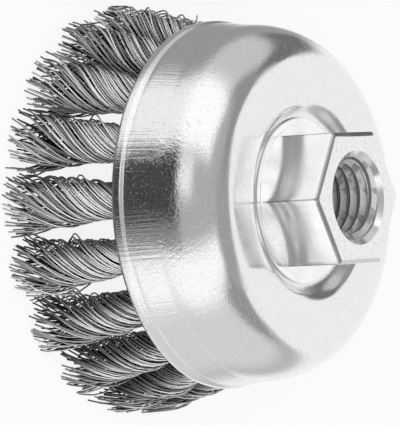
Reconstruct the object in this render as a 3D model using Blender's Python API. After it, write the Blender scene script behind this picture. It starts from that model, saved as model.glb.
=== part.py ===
"""Knotted wire cup brush for an angle grinder.

A pressed steel cup, a flanged hexagon nut swaged through its back, and a ring
of twisted wire knots, each looped over the rim of a perforated plate inside
the cup. Metres, +Z up. The brush stands on its wire tips, nut upwards, with
its axis on Z and the tips at z = 0.
"""

import math

import bmesh
import bpy
import numpy as np

# Clearance between pieces that seat on each other
SEAT_GAP = 0.0003

# Wire knots
KNOT_COUNT = 18
FIRST_KNOT_ANGLE = math.radians(-93.5)
TRIM_LENGTH = 0.0200
KNOT_DIAMETER = 0.0060
KNOT_ROOT_DIAMETER = 0.0056
TIP_CIRCLE_DIAMETER = 0.0618
KNOT_TIP_CLEARANCE = 0.0005
KNOT_LIP_CLEARANCE = 0.0004
LAY_AT_LIP = 0.0240
LAY_AT_TIP = 0.0440
STRANDS = 6
STRAND_RELIEF = 0.20
KNOT_RINGS = 17

# Loop of each knot over the plate
LOOP_CLEARANCE = 0.0003
LOOP_WIDTH = 0.0032
LOOP_TAIL = 0.0036
LOOP_SIDES = 6
LOOP_ARC_STEPS = 2

# Pressed cup
LIP_DIAMETER = 0.0630
LIP_EDGE_HEIGHT = 0.0005
LIP_BAND_HEIGHT = 0.0023
LIP_FLARE = 0.0005
NECK_TAPER = 0.0007
NECK_HEIGHT = 0.0080
CUP_HEIGHT = 0.0188
BACK_FLAT_DIAMETER = 0.0458
CUP_WALL = 0.0012
DISH_DEPTH = 0.0024
DISH_MARGIN = 0.0007
DISH_SLOPE_WIDTH = 0.0019
CUP_SIDES = 48
SHOULDER_STEPS = 7

# Flanged nut, thread M14 x 2
ACROSS_FLATS = 0.0220
NUT_HEIGHT = 0.0115
NUT_BEVEL = 0.0007
FLANGE_DIAMETER = 0.0284
FLANGE_THICKNESS = 0.0005
FLANGE_EDGE = 0.0002
FLANGE_LAND = 0.0001
THREAD_DIAMETER = 0.0140
THREAD_PITCH = 0.0020
THREAD_DEPTH_RATIO = 0.5413
MOUTH_DIAMETER = 0.0158
SPIGOT_DIAMETER = 0.0180
COLLAR_DIAMETER = 0.0216
COLLAR_THICKNESS = 0.0012
NUT_SIDES = 36

# Perforated plate and the washer under it
PLATE_THICKNESS = 0.0016
LOOP_WEB = 0.0022
HOLE_WEB = 0.0010
WASHER_DIAMETER = 0.0300
WASHER_THICKNESS = 0.0010
HOLE_SIDES = 14
PLATE_SIDES = 36

# Length by which a cutter stands out of the piece that it cuts
CUTTER_MARGIN = 0.0020

# Heights, worked out from the sizes above
LIP_Z = TRIM_LENGTH
BACK_Z = LIP_Z + CUP_HEIGHT
DISH_Z = BACK_Z - DISH_DEPTH
FLANGE_Z = DISH_Z + SEAT_GAP
FLANGE_TOP_Z = FLANGE_Z + FLANGE_THICKNESS
NUT_TOP_Z = FLANGE_Z + NUT_HEIGHT
PLATE_TOP_Z = DISH_Z - CUP_WALL - SEAT_GAP
PLATE_BOTTOM_Z = PLATE_TOP_Z - PLATE_THICKNESS
WASHER_TOP_Z = PLATE_BOTTOM_Z - SEAT_GAP
WASHER_BOTTOM_Z = WASHER_TOP_Z - WASHER_THICKNESS
COLLAR_TOP_Z = WASHER_BOTTOM_Z - SEAT_GAP
COLLAR_BOTTOM_Z = COLLAR_TOP_Z - COLLAR_THICKNESS

# Radii, worked out in the same way
LIP_RADIUS = LIP_DIAMETER / 2
CREASE_RADIUS = LIP_RADIUS - LIP_FLARE
NECK_RADIUS = CREASE_RADIUS - NECK_TAPER
BORE_RADIUS = THREAD_DIAMETER / 2 - THREAD_DEPTH_RATIO * THREAD_PITCH
MOUTH_RADIUS = MOUTH_DIAMETER / 2
SPIGOT_HOLE_RADIUS = SPIGOT_DIAMETER / 2 + SEAT_GAP
DISH_FLOOR_RADIUS = FLANGE_DIAMETER / 2 + DISH_MARGIN
DISH_RADIUS = DISH_FLOOR_RADIUS + DISH_SLOPE_WIDTH
SHOULDER_WIDTH = NECK_RADIUS - BACK_FLAT_DIAMETER / 2
SHOULDER_HEIGHT = CUP_HEIGHT - NECK_HEIGHT

# The dish holds the plate off the back, which leaves the loops their room
LOOP_THICKNESS = DISH_DEPTH - LOOP_CLEARANCE
LOOP_REACH = SEAT_GAP + LOOP_THICKNESS / 2
LOOP_ROOM = SEAT_GAP + LOOP_THICKNESS + LOOP_CLEARANCE
ROOM_STEPS = 200


def offset_line(points, distance):
    """Moves an open line to its left by a distance, with mitred corners."""
    points = np.array(points)
    along = np.diff(points, axis=0)
    along /= np.linalg.norm(along, axis=1, keepdims=True)
    left = np.stack([-along[:, 1], along[:, 0]], axis=1)
    before = np.vstack([left[:1], left])
    after = np.vstack([left, left[-1:]])
    mitre = (before + after) / (1.0 + (before * after).sum(axis=1, keepdims=True))
    return points + distance * mitre


def shoulder_arc(steps):
    """Outer side of the shoulder, a quarter ellipse from the neck to the back."""
    angles = np.linspace(0.0, math.pi / 2, steps + 1)
    radii = BACK_FLAT_DIAMETER / 2 + SHOULDER_WIDTH * np.cos(angles)
    heights = LIP_Z + NECK_HEIGHT + SHOULDER_HEIGHT * np.sin(angles)
    return np.stack([radii, heights], axis=1)


def rim_radius():
    """Largest plate for which the loops over its rim clear the shoulder.

    Each point of the shoulder's inner side allows a rim that lies one loop's
    room away from it, level with the plate's top, and the tightest one counts.
    """
    wall = offset_line(shoulder_arc(ROOM_STEPS), CUP_WALL)
    rise = wall[:, 1] - PLATE_TOP_Z
    near = np.abs(rise) < LOOP_ROOM
    allowed = wall[near, 0] - np.sqrt(LOOP_ROOM**2 - rise[near] ** 2)
    return float(allowed.min())


RIM_RADIUS = rim_radius()
WEB_RADIUS = RIM_RADIUS - LOOP_WEB
INNER_LEG_RADIUS = WEB_RADIUS - LOOP_REACH
OUTER_LEG_RADIUS = RIM_RADIUS + LOOP_REACH

# Holes for the knots, as wide as the steel left between neighbours allows
CHORD_RATIO = 2 * math.sin(math.pi / KNOT_COUNT)
KNOT_HOLE_DIAMETER = (CHORD_RATIO * WEB_RADIUS - HOLE_WEB) / (1.0 + CHORD_RATIO / 2)
KNOT_HOLE_CIRCLE = WEB_RADIUS - KNOT_HOLE_DIAMETER / 2

# Axis of a knot: its radius at the root, at the lip and at the tips
ROOT_RADIUS = (INNER_LEG_RADIUS + OUTER_LEG_RADIUS) / 2
ROOT_Z = PLATE_BOTTOM_Z - LOOP_TAIL / 2
KNOT_LIP_RADIUS = LIP_RADIUS - CUP_WALL - KNOT_LIP_CLEARANCE - KNOT_DIAMETER / 2
TIP_RADIUS = TIP_CIRCLE_DIAMETER / 2
KNOT_TIP_DIAMETER = CHORD_RATIO * TIP_RADIUS - KNOT_TIP_CLEARANCE


def clear_scene():
    for item in list(bpy.data.objects):
        bpy.data.objects.remove(item, do_unlink=True)


def steel(name, colour, roughness):
    """A bare metal finish."""
    material = bpy.data.materials.new(name)
    material.use_nodes = True
    shader = material.node_tree.nodes["Principled BSDF"]
    shader.inputs["Base Color"].default_value = (*colour, 1.0)
    shader.inputs["Metallic"].default_value = 1.0
    shader.inputs["Roughness"].default_value = roughness
    return material


def add_object(name, mesh, parent=None, material=None, smooth_angle=35.0):
    """Links the mesh as an object, shaded smooth up to an edge angle in degrees."""
    item = bpy.data.objects.new(name, mesh)
    bpy.context.scene.collection.objects.link(item)
    item.parent = parent
    if material:
        mesh.materials.append(material)
        mesh.shade_smooth()
        mesh.set_sharp_from_angle(angle=math.radians(smooth_angle))
    return item


def as_helper(item):
    """Marks a cutter or a tool body, which isn't part of the object."""
    item.hide_render = True
    item.display_type = "WIRE"
    return item


def mesh_from(bm, name):
    bmesh.ops.recalc_face_normals(bm, faces=bm.faces)
    mesh = bpy.data.meshes.new(name)
    bm.to_mesh(mesh)
    bm.free()
    return mesh


def turned(name, profile, sides):
    """Spins a profile of (radius, height) points round Z.

    A profile that starts and ends on the axis is an open line, any other is
    closed on itself.
    """
    bm = bmesh.new()
    points = [bm.verts.new((radius, 0.0, height)) for radius, height in profile]
    edges = [bm.edges.new(pair) for pair in zip(points, points[1:])]
    if profile[0][0] > 0.0:
        edges.append(bm.edges.new((points[-1], points[0])))
    bmesh.ops.spin(
        bm,
        geom=points + edges,
        cent=(0.0, 0.0, 0.0),
        axis=(0.0, 0.0, 1.0),
        angle=2 * math.pi,
        steps=sides,
        use_merge=True,
    )
    bmesh.ops.remove_doubles(bm, verts=bm.verts, dist=1e-7)
    return mesh_from(bm, name)


def lofted(name, rings):
    """Skins a (rings, points, 3) array of closed rings and caps both ends."""
    bm = bmesh.new()
    loops = [[bm.verts.new(point) for point in ring] for ring in rings]
    for lower, upper in zip(loops, loops[1:]):
        for i, corner in enumerate(lower):
            bm.faces.new((corner, lower[i - 1], upper[i - 1], upper[i]))
    bm.faces.new(loops[0])
    bm.faces.new(loops[-1])
    return mesh_from(bm, name)


def boolean(item, operation, other):
    modifier = item.modifiers.new(operation.lower(), "BOOLEAN")
    modifier.operation = operation
    modifier.object = other
    modifier.solver = "EXACT"


def cup_outline():
    """Outer side of the cup, from the lip over the shoulder to the centre hole."""
    lip = [
        (LIP_RADIUS, LIP_Z),
        (LIP_RADIUS, LIP_Z + LIP_EDGE_HEIGHT),
        (CREASE_RADIUS, LIP_Z + LIP_BAND_HEIGHT),
    ]
    dish = [
        (DISH_RADIUS, BACK_Z),
        (DISH_FLOOR_RADIUS, DISH_Z),
        (SPIGOT_HOLE_RADIUS, DISH_Z),
    ]
    return np.vstack([lip, shoulder_arc(SHOULDER_STEPS), dish])


def make_cup(parent):
    outer = cup_outline()
    inner = offset_line(outer, CUP_WALL)
    mesh = turned("cup", np.vstack([outer, inner[::-1]]), CUP_SIDES)
    material = steel("zinc_plated_pressing", (0.78, 0.79, 0.80), 0.22)
    return add_object("cup", mesh, parent, material)


def hexagon_prism():
    """The nut's hexagon, flats facing X, with a bevel round its outer face."""
    sunk = FLANGE_THICKNESS / 2
    sections = (
        (ACROSS_FLATS, FLANGE_TOP_Z - sunk),
        (ACROSS_FLATS, NUT_TOP_Z - NUT_BEVEL),
        (ACROSS_FLATS - 2 * NUT_BEVEL, NUT_TOP_Z),
    )
    angles = math.radians(30.0) + np.arange(6) * math.radians(60.0)
    rings = []
    for width, height in sections:
        corner = width / math.sqrt(3.0)
        ring = [(corner * math.cos(a), corner * math.sin(a), height) for a in angles]
        rings.append(ring)
    return lofted("hexagon", rings)


def make_nut(parent):
    """The nut: a turned blank with a thin flange, the hexagon on it, and its bore.

    The flange is level out to the hexagon's corners and falls from there to its edge.
    """
    flange_radius = FLANGE_DIAMETER / 2
    land_radius = ACROSS_FLATS / math.sqrt(3.0) + FLANGE_LAND
    blank = [
        (0.0, COLLAR_BOTTOM_Z),
        (COLLAR_DIAMETER / 2, COLLAR_BOTTOM_Z),
        (COLLAR_DIAMETER / 2, COLLAR_TOP_Z),
        (SPIGOT_DIAMETER / 2, COLLAR_TOP_Z),
        (SPIGOT_DIAMETER / 2, FLANGE_Z),
        (flange_radius, FLANGE_Z),
        (flange_radius, FLANGE_Z + FLANGE_EDGE),
        (land_radius, FLANGE_TOP_Z),
        (0.0, FLANGE_TOP_Z),
    ]
    chamfer = MOUTH_RADIUS - BORE_RADIUS
    bore = [
        (0.0, COLLAR_BOTTOM_Z - CUTTER_MARGIN),
        (BORE_RADIUS, COLLAR_BOTTOM_Z - CUTTER_MARGIN),
        (BORE_RADIUS, NUT_TOP_Z - chamfer),
        (MOUTH_RADIUS + CUTTER_MARGIN, NUT_TOP_Z + CUTTER_MARGIN),
        (0.0, NUT_TOP_Z + CUTTER_MARGIN),
    ]
    material = steel("zinc_plated_nut", (0.76, 0.76, 0.77), 0.28)
    mesh = turned("threaded_nut", blank, NUT_SIDES)
    nut = add_object("threaded_nut", mesh, parent, material)
    hexagon = as_helper(add_object("hexagon", hexagon_prism(), parent))
    cutter = turned("bore_cutter", bore, NUT_SIDES)
    cutter = as_helper(add_object("bore_cutter", cutter, parent))
    boolean(nut, "UNION", hexagon)
    boolean(nut, "DIFFERENCE", cutter)
    return nut


def ring_profile(inner, outer, bottom, top):
    return [(inner, bottom), (outer, bottom), (outer, top), (inner, top)]


def knot_angle(index):
    return FIRST_KNOT_ANGLE + index * 2 * math.pi / KNOT_COUNT


def knot_hole_cutters():
    """One peg for each knot, standing through the plate on the hole circle."""
    bm = bmesh.new()
    for index in range(KNOT_COUNT):
        angle = knot_angle(index)
        made = bmesh.ops.create_cone(
            bm,
            cap_ends=True,
            segments=HOLE_SIDES,
            radius1=KNOT_HOLE_DIAMETER / 2,
            radius2=KNOT_HOLE_DIAMETER / 2,
            depth=PLATE_THICKNESS + 2 * CUTTER_MARGIN,
        )
        place = (
            KNOT_HOLE_CIRCLE * math.cos(angle),
            KNOT_HOLE_CIRCLE * math.sin(angle),
            (PLATE_TOP_Z + PLATE_BOTTOM_Z) / 2,
        )
        bmesh.ops.translate(bm, verts=made["verts"], vec=place)
    return mesh_from(bm, "knot_holes")


def make_plate(parent):
    profile = ring_profile(SPIGOT_HOLE_RADIUS, RIM_RADIUS, PLATE_BOTTOM_Z, PLATE_TOP_Z)
    mesh = turned("knot_plate", profile, PLATE_SIDES)
    material = steel("plate_steel", (0.50, 0.50, 0.51), 0.42)
    plate = add_object("knot_plate", mesh, parent, material)
    cutters = as_helper(add_object("knot_holes", knot_hole_cutters(), parent))
    boolean(plate, "DIFFERENCE", cutters)
    return plate


def make_washer(parent):
    profile = ring_profile(
        SPIGOT_HOLE_RADIUS, WASHER_DIAMETER / 2, WASHER_BOTTOM_Z, WASHER_TOP_Z
    )
    mesh = turned("retaining_washer", profile, NUT_SIDES)
    material = steel("washer_steel", (0.60, 0.60, 0.61), 0.35)
    return add_object("retaining_washer", mesh, parent, material)


def knot_radius_at(height):
    """Distance of a knot's centre line from the brush axis.

    It is the parabola through the root, the lip and the tips.
    """
    stations = ((ROOT_Z, ROOT_RADIUS), (LIP_Z, KNOT_LIP_RADIUS), (0.0, TIP_RADIUS))
    total = 0.0
    for i, (own_height, own_radius) in enumerate(stations):
        weight = 1.0
        for j, (other_height, _) in enumerate(stations):
            if j != i:
                weight *= (height - other_height) / (own_height - other_height)
        total += own_radius * weight
    return total


def knot_width_at(height):
    """Diameter over the strands: even above the lip, opening towards the tips."""
    if height > LIP_Z:
        share = (height - LIP_Z) / (ROOT_Z - LIP_Z)
        return KNOT_DIAMETER + (KNOT_ROOT_DIAMETER - KNOT_DIAMETER) * share
    share = (LIP_Z - height) / LIP_Z
    return KNOT_DIAMETER + (KNOT_TIP_DIAMETER - KNOT_DIAMETER) * share


def twist_at(height):
    """Angle that the strands have turned at a height, zero at the lip.

    The lay is constant above the lip and grows towards the tips, where the
    wires open out, so the angle there is the integral of a falling rate.
    """
    rise = height - LIP_Z
    if rise > 0.0:
        return 2 * math.pi * rise / LAY_AT_LIP
    rate_change = (1.0 / LAY_AT_TIP - 1.0 / LAY_AT_LIP) / LIP_Z
    return 2 * math.pi * (rise / LAY_AT_LIP - rate_change * rise * rise / 2)


def twisted_shaft():
    """The twisted part of a knot on +X: level star-shaped rings, turned in step."""
    around = np.arange(2 * STRANDS) * math.pi / STRANDS
    relief = np.where(np.arange(2 * STRANDS) % 2 == 0, 1.0, 1.0 - STRAND_RELIEF)
    rings = []
    for height in np.linspace(0.0, ROOT_Z, KNOT_RINGS):
        reach = relief * knot_width_at(height) / 2
        angles = around + twist_at(height)
        ring = np.empty((2 * STRANDS, 3))
        ring[:, 0] = knot_radius_at(height) + reach * np.cos(angles)
        ring[:, 1] = reach * np.sin(angles)
        ring[:, 2] = height
        rings.append(ring)
    return lofted("twisted_shaft", rings)


def loop_route():
    """Centre line of the loop in the XZ plane.

    Up through the hole, over the web in two round corners centred on the
    web's edges, and down outside the rim, with both tails in the shaft.
    """
    corners = (
        (WEB_RADIUS, math.pi, math.pi / 2),
        (RIM_RADIUS, math.pi / 2, 0.0),
    )
    tail_z = PLATE_BOTTOM_Z - LOOP_TAIL
    tail_shift = LOOP_THICKNESS / 2
    route = [(ROOT_RADIUS - tail_shift, tail_z), (INNER_LEG_RADIUS, PLATE_BOTTOM_Z)]
    for centre, start, end in corners:
        for angle in np.linspace(start, end, LOOP_ARC_STEPS + 1):
            radius = centre + LOOP_REACH * math.cos(angle)
            height = PLATE_TOP_Z + LOOP_REACH * math.sin(angle)
            route.append((radius, height))
    route += [(OUTER_LEG_RADIUS, PLATE_BOTTOM_Z), (ROOT_RADIUS + tail_shift, tail_z)]
    return np.array(route)


def wire_loop():
    """The loop as a flattened tube carried along its route."""
    route = loop_route()
    along = np.gradient(route, axis=0)
    along /= np.linalg.norm(along, axis=1, keepdims=True)
    across = np.stack([-along[:, 1], along[:, 0]], axis=1)
    angles = (np.arange(LOOP_SIDES) + 0.5) * 2 * math.pi / LOOP_SIDES
    rings = []
    for centre, side in zip(route, across):
        ring = np.empty((LOOP_SIDES, 3))
        thick = LOOP_THICKNESS / 2 * np.cos(angles)
        ring[:, 0] = centre[0] + side[0] * thick
        ring[:, 1] = LOOP_WIDTH / 2 * np.sin(angles)
        ring[:, 2] = centre[1] + side[1] * thick
        rings.append(ring)
    return lofted("wire_loop", rings)


def knot_mesh():
    """Shaft and loop of one knot, united into one closed mesh on +X."""
    shaft = add_object("shaft_tool", twisted_shaft())
    loop = add_object("loop_tool", wire_loop())
    boolean(shaft, "UNION", loop)
    graph = bpy.context.evaluated_depsgraph_get()
    mesh = bpy.data.meshes.new_from_object(shaft.evaluated_get(graph))
    mesh.name = "wire_knot"
    bpy.data.objects.remove(shaft, do_unlink=True)
    bpy.data.objects.remove(loop, do_unlink=True)
    mesh.materials.clear()
    mesh.materials.append(steel("brush_wire", (0.33, 0.33, 0.34), 0.30))
    mesh.shade_smooth()
    mesh.set_sharp_from_angle(angle=math.radians(50.0))
    return mesh


def make_knots(parent):
    mesh = knot_mesh()
    for index in range(KNOT_COUNT):
        knot = add_object(f"knot_{index + 1:02d}", mesh, parent)
        knot.rotation_euler.z = knot_angle(index)


def main():
    clear_scene()
    axis = add_object("brush_axis", None)
    make_cup(axis)
    make_nut(axis)
    make_plate(axis)
    make_washer(axis)
    make_knots(axis)
    bpy.context.view_layer.update()


main()
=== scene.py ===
"""Knotted wire cup brush: the finish of every surface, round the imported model.

The cup and the nut are turned surfaces worked out on grids, the nut with its
real thread. Each knot is its own bundle of bent wires. The plate and the
washer keep their solids and get a finish. Metres, +Z up, tips at z = 0.
"""

import math

import bpy
import numpy as np
from bpy.props import FloatProperty, FloatVectorProperty, PointerProperty
from bpy.types import Operator, Panel, PropertyGroup
from mathutils import Matrix, Vector


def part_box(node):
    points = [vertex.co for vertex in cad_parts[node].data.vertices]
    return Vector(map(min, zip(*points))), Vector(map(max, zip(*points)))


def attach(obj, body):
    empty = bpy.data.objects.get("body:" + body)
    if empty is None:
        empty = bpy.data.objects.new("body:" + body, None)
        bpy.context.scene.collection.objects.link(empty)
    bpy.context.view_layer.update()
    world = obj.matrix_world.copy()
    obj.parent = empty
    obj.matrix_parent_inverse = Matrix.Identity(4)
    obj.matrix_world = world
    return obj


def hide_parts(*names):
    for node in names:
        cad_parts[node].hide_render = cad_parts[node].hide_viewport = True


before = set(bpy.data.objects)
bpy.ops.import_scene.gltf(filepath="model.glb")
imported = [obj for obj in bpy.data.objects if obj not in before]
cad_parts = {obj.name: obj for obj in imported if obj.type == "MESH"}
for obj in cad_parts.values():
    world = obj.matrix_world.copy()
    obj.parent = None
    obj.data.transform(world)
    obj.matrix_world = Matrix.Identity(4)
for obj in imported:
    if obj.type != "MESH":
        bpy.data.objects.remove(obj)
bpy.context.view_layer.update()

bl_info = {
    "name": "Wire cup brush",
    "version": (1, 0, 0),
    "blender": (4, 5, 0),
    "location": "3D View > Sidebar > Brush",
    "description": "Builds the cup, the nut and the wire knots of a cup brush",
    "category": "Add Mesh",
}

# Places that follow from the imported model
CUP_LOW, CUP_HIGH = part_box("cup")
NUT_LOW, NUT_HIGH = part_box("threaded_nut")
PLATE_LOW, PLATE_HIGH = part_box("knot_plate")
WASHER_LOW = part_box("retaining_washer")[0]
LIP_Z = CUP_LOW.z
BACK_Z = CUP_HIGH.z
LIP_RADIUS = CUP_HIGH.x
FLANGE_RADIUS = NUT_HIGH.x
NUT_TOP_Z = NUT_HIGH.z
COLLAR_BOTTOM_Z = NUT_LOW.z
RIM_RADIUS = PLATE_HIGH.x
MM = 0.001
SEAT_GAP = 0.3 * MM
COLLAR_TOP_Z = WASHER_LOW.z - SEAT_GAP
FLANGE_DROP = 2.1 * MM
FLANGE_BOTTOM_Z = BACK_Z - FLANGE_DROP

KNOT_COUNT = 18
FIRST_KNOT_ANGLE = math.radians(-93.5)


def length(name, default, description):
    return FloatProperty(
        name=name, description=description, default=default, unit="LENGTH", precision=5
    )


def share(name, default, description):
    return FloatProperty(
        name=name, description=description, default=default, min=0.0, max=1.0, subtype="FACTOR"
    )


def colour(name, default, description):
    return FloatVectorProperty(
        name=name, description=description, default=default, min=0.0, max=1.0, subtype="COLOR"
    )


class BrushCupSettings(PropertyGroup):
    wall: length("Wall", 1.2 * MM, "Thickness of the pressed steel")
    lip_flare: length("Lip flare", 0.45 * MM, "How far the lip band stands out of the groove")
    band_height: length("Lip band", 1.7 * MM, "Height of the band along the lip")
    neck_taper: length("Neck taper", 0.7 * MM, "How far the skirt draws in to its neck")
    neck_height: length("Neck height", 8.0 * MM, "Height of the neck above the lip")
    flat_radius: length("Flat radius", 22.9 * MM, "Radius at which the back meets the shoulder")
    dish_radius: length("Dish radius", 16.8 * MM, "Radius of the edge of the dish in the back")
    dish_floor: length("Dish floor", 14.7 * MM, "Radius of the flat floor of the dish")
    dish_depth: length("Dish depth", 2.14 * MM, "Depth of the dish below the back")
    hole_radius: length("Hole radius", 9.3 * MM, "Radius of the hole for the nut")
    zinc: colour("Zinc", (0.86, 0.87, 0.88), "Colour of the polished zinc plate")


class BrushNutSettings(PropertyGroup):
    across_flats: length("Across flats", 22.0 * MM, "Size of the hexagon")
    bevel: length("Bevel", 0.8 * MM, "Width of the bevel round the outer face")
    bevel_drop: length("Bevel drop", 0.5 * MM, "Height of the bevel round the outer face")
    flange_thickness: length("Flange", 0.46 * MM, "Thickness of the flange under the hexagon")
    flange_edge: length("Flange edge", 0.55 * MM, "Reach of the rounding of the flange's edge")
    thread_radius: length("Thread radius", 7.0 * MM, "Half the thread's major diameter")
    thread_pitch: length("Thread pitch", 2.0 * MM, "Pitch of the thread")
    mouth_radius: length("Mouth radius", 7.9 * MM, "Radius of the countersink at the face")
    spigot_radius: length("Spigot radius", 9.0 * MM, "Radius of the part that goes through the cup")
    collar_radius: length("Collar radius", 10.8 * MM, "Radius of the collar swaged over inside")
    zinc: colour("Zinc", (0.95, 0.95, 0.96), "Colour of the satin zinc plate")


class BrushWireSettings(PropertyGroup):
    wire_radius: length("Wire radius", 0.145 * MM, "Half the diameter of one wire")
    lip_radius: length("Bundle at lip", 2.40 * MM, "Radius of the outer wires' centres at the lip")
    belly: length("Belly", 1.15 * MM, "How far the bundle swells in its upper half")
    splay: length("Splay", 1.6 * MM, "How far the bundle opens again towards the tips")
    tip_circle: length("Tip circle", 30.9 * MM, "Radius of the circle of the knots' tips")
    lip_circle: length("Lip circle", 26.9 * MM, "Radius of the circle of the knots at the lip")
    lay_at_lip: length("Lay at lip", 20.5 * MM, "Length of one turn of the wires in the knot")
    lay_at_tip: length("Lay at tips", 90.0 * MM, "Length of one turn of the wires at the tips")
    straight: length("Straight end", 11.0 * MM, "Length over which the twist eases off to the tips")
    wander: length("Wander", 0.55 * MM, "How far single wires stray at the tips")
    trim: length("Trim", 1.8 * MM, "How unevenly the wires are cut")
    steel: colour("Steel", (0.96, 0.96, 0.97), "Colour of the drawn wire")


class BrushInnerSettings(PropertyGroup):
    plate: colour("Plate", (0.5, 0.5, 0.51), "Colour of the steel plate that holds the knots")
    washer: colour("Washer", (0.6, 0.6, 0.61), "Colour of the steel washer under the collar")


class BrushStageSettings(PropertyGroup):
    floor_size: length("Floor size", 3.0, "Width of the floor")
    surround: share("Surround", 0.98, "Brightness of the white surround in the metal")


def unit(vectors):
    """Vectors divided by their own lengths."""
    return vectors / np.linalg.norm(vectors, axis=-1, keepdims=True)


def smooth_step(x, low, high):
    """0 up to low and 1 from high, with three times t squared less twice t cubed between."""
    t = np.clip((x - low) / (high - low), 0.0, 1.0)
    return t * t * (3.0 - 2.0 * t)


def build_mesh(name, points, face_arrays, uv=None):
    """Makes a mesh of whole arrays.

    points is (n, 3), and each face array is (faces, corners) of point numbers.
    uv holds one pair for each corner, in the same order.
    """
    sizes = np.concatenate([np.full(len(faces), faces.shape[1]) for faces in face_arrays])
    corners = np.concatenate([faces.ravel() for faces in face_arrays]).astype(np.int32)
    starts = np.concatenate([[0], np.cumsum(sizes)[:-1]]).astype(np.int32)
    mesh = bpy.data.meshes.new(name)
    mesh.vertices.add(len(points))
    mesh.vertices.foreach_set("co", points.astype(np.float32).ravel())
    mesh.loops.add(len(corners))
    mesh.loops.foreach_set("vertex_index", corners)
    mesh.polygons.add(len(sizes))
    mesh.polygons.foreach_set("loop_start", starts)
    if uv is not None:
        layer = mesh.uv_layers.new(name="Surface")
        layer.data.foreach_set("uv", uv.astype(np.float32).ravel())
    mesh.update(calc_edges=True)
    mesh.validate()
    return mesh


SHARP_TURNED = 40.0
SHARP_WIRE = 75.0


def add_piece(name, mesh, material, replaced, sharp=SHARP_TURNED):
    """Places a mesh as the piece that replaces a node. Edges past sharp degrees stay crisp."""
    mesh.materials.append(material)
    mesh.shade_smooth()
    mesh.set_sharp_from_angle(angle=math.radians(sharp))
    piece = bpy.data.objects.new(name, mesh)
    bpy.context.scene.collection.objects.link(piece)
    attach(piece, "root")
    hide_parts(replaced)
    return piece


def ring_grid(rows, columns):
    """Quads of a grid that closes on itself both ways, and the grid places of their corners.

    Row i and column j meet at point i * columns + j.
    """
    i, j = np.meshgrid(np.arange(rows), np.arange(columns), indexing="ij")
    i, j = i.ravel(), j.ravel()
    places = np.stack([
        np.stack([i, j], axis=1),
        np.stack([i, j + 1], axis=1),
        np.stack([i + 1, j + 1], axis=1),
        np.stack([i + 1, j], axis=1),
    ], axis=1)
    quads = (places[..., 0] % rows) * columns + places[..., 1] % columns
    return quads, places


def turned_mesh(name, radii, heights):
    """A closed profile turned round Z, where the radius and height may vary with the angle.

    radii and heights are (rows, columns). Row by row they follow the profile,
    with the metal on its left, and column by column the angle. UV runs round
    the axis and along the profile, both in metres.
    """
    rows, columns = radii.shape
    angles = np.arange(columns) * 2 * math.pi / columns
    points = np.stack([radii * np.cos(angles), radii * np.sin(angles), heights], axis=2)
    quads, places = ring_grid(rows, columns)
    closed = np.concatenate([points, points[:1]])
    along = np.linalg.norm(np.diff(closed[:, 0], axis=0), axis=1)
    travel = np.concatenate([[0.0], np.cumsum(along)])
    uv = np.stack([
        places[..., 1] * 2 * math.pi * LIP_RADIUS / columns,
        travel[places[..., 0]],
    ], axis=2)
    return build_mesh(name, points.reshape(-1, 3), [quads], uv.reshape(-1, 2))


def resampled(line, spacing):
    """The line with points at most one spacing apart, its own points kept."""
    pieces = []
    for first, last in zip(line, line[1:]):
        count = max(1, int(math.ceil(np.linalg.norm(last - first) / spacing)))
        shares = np.arange(count)[:, None] / count
        pieces.append(first + (last - first) * shares)
    return np.concatenate(pieces + [line[-1:]])


# The rounding of a corner takes up at most this share of each side
ROUNDING_SHARE = 0.49


def rounded(line, radius, steps=6):
    """The line with each inner corner rounded off by a parabola of that reach."""
    line = np.asarray(line, dtype=float)
    pieces = [line[:1]]
    t = np.linspace(0.0, 1.0, steps)[:, None]
    for before, corner, after in zip(line, line[1:], line[2:]):
        back, ahead = before - corner, after - corner
        reach_back = min(radius, np.linalg.norm(back) * ROUNDING_SHARE)
        reach_ahead = min(radius, np.linalg.norm(ahead) * ROUNDING_SHARE)
        start = corner + back / np.linalg.norm(back) * reach_back
        end = corner + ahead / np.linalg.norm(ahead) * reach_ahead
        pieces.append((1 - t) ** 2 * start + 2 * t * (1 - t) * corner + t**2 * end)
    pieces.append(line[-1:])
    return np.concatenate(pieces)


def offset_line(points, distance):
    """Moves a line to its left by a distance, along the mean normal at each point."""
    along = unit(np.gradient(points, axis=0))
    left = np.stack([-along[:, 1], along[:, 0]], axis=1)
    return points + distance * left


# Materials

def new_material(name):
    material = bpy.data.materials.new(name)
    material.use_nodes = True
    tree = material.node_tree
    return material, tree, tree.nodes["Principled BSDF"]


def ramp(tree, factor, span, result=(0.0, 1.0)):
    """Maps a factor from one range to another, held at the ends."""
    item = tree.nodes.new("ShaderNodeMapRange")
    item.inputs["From Min"].default_value, item.inputs["From Max"].default_value = span
    item.inputs["To Min"].default_value, item.inputs["To Max"].default_value = result
    tree.links.new(factor, item.inputs["Value"])
    return item.outputs["Result"]


def noise(tree, vector, scale=1.0, detail=4.0, roughness=0.55, swirl=0.0):
    item = tree.nodes.new("ShaderNodeTexNoise")
    item.inputs["Scale"].default_value = scale
    item.inputs["Detail"].default_value = detail
    item.inputs["Roughness"].default_value = roughness
    item.inputs["Distortion"].default_value = swirl
    tree.links.new(vector, item.inputs["Vector"])
    return item.outputs["Fac"]


def stretched(tree, vector, scale, turn=0.0):
    """Scales a pattern along each axis, after a turn round all three where one is given."""
    item = tree.nodes.new("ShaderNodeMapping")
    item.vector_type = "TEXTURE" if turn else "POINT"
    item.inputs["Scale"].default_value = tuple(1.0 / part for part in scale) if turn else scale
    item.inputs["Rotation"].default_value = (turn, turn, turn)
    tree.links.new(vector, item.inputs["Vector"])
    return item.outputs["Vector"]


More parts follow.
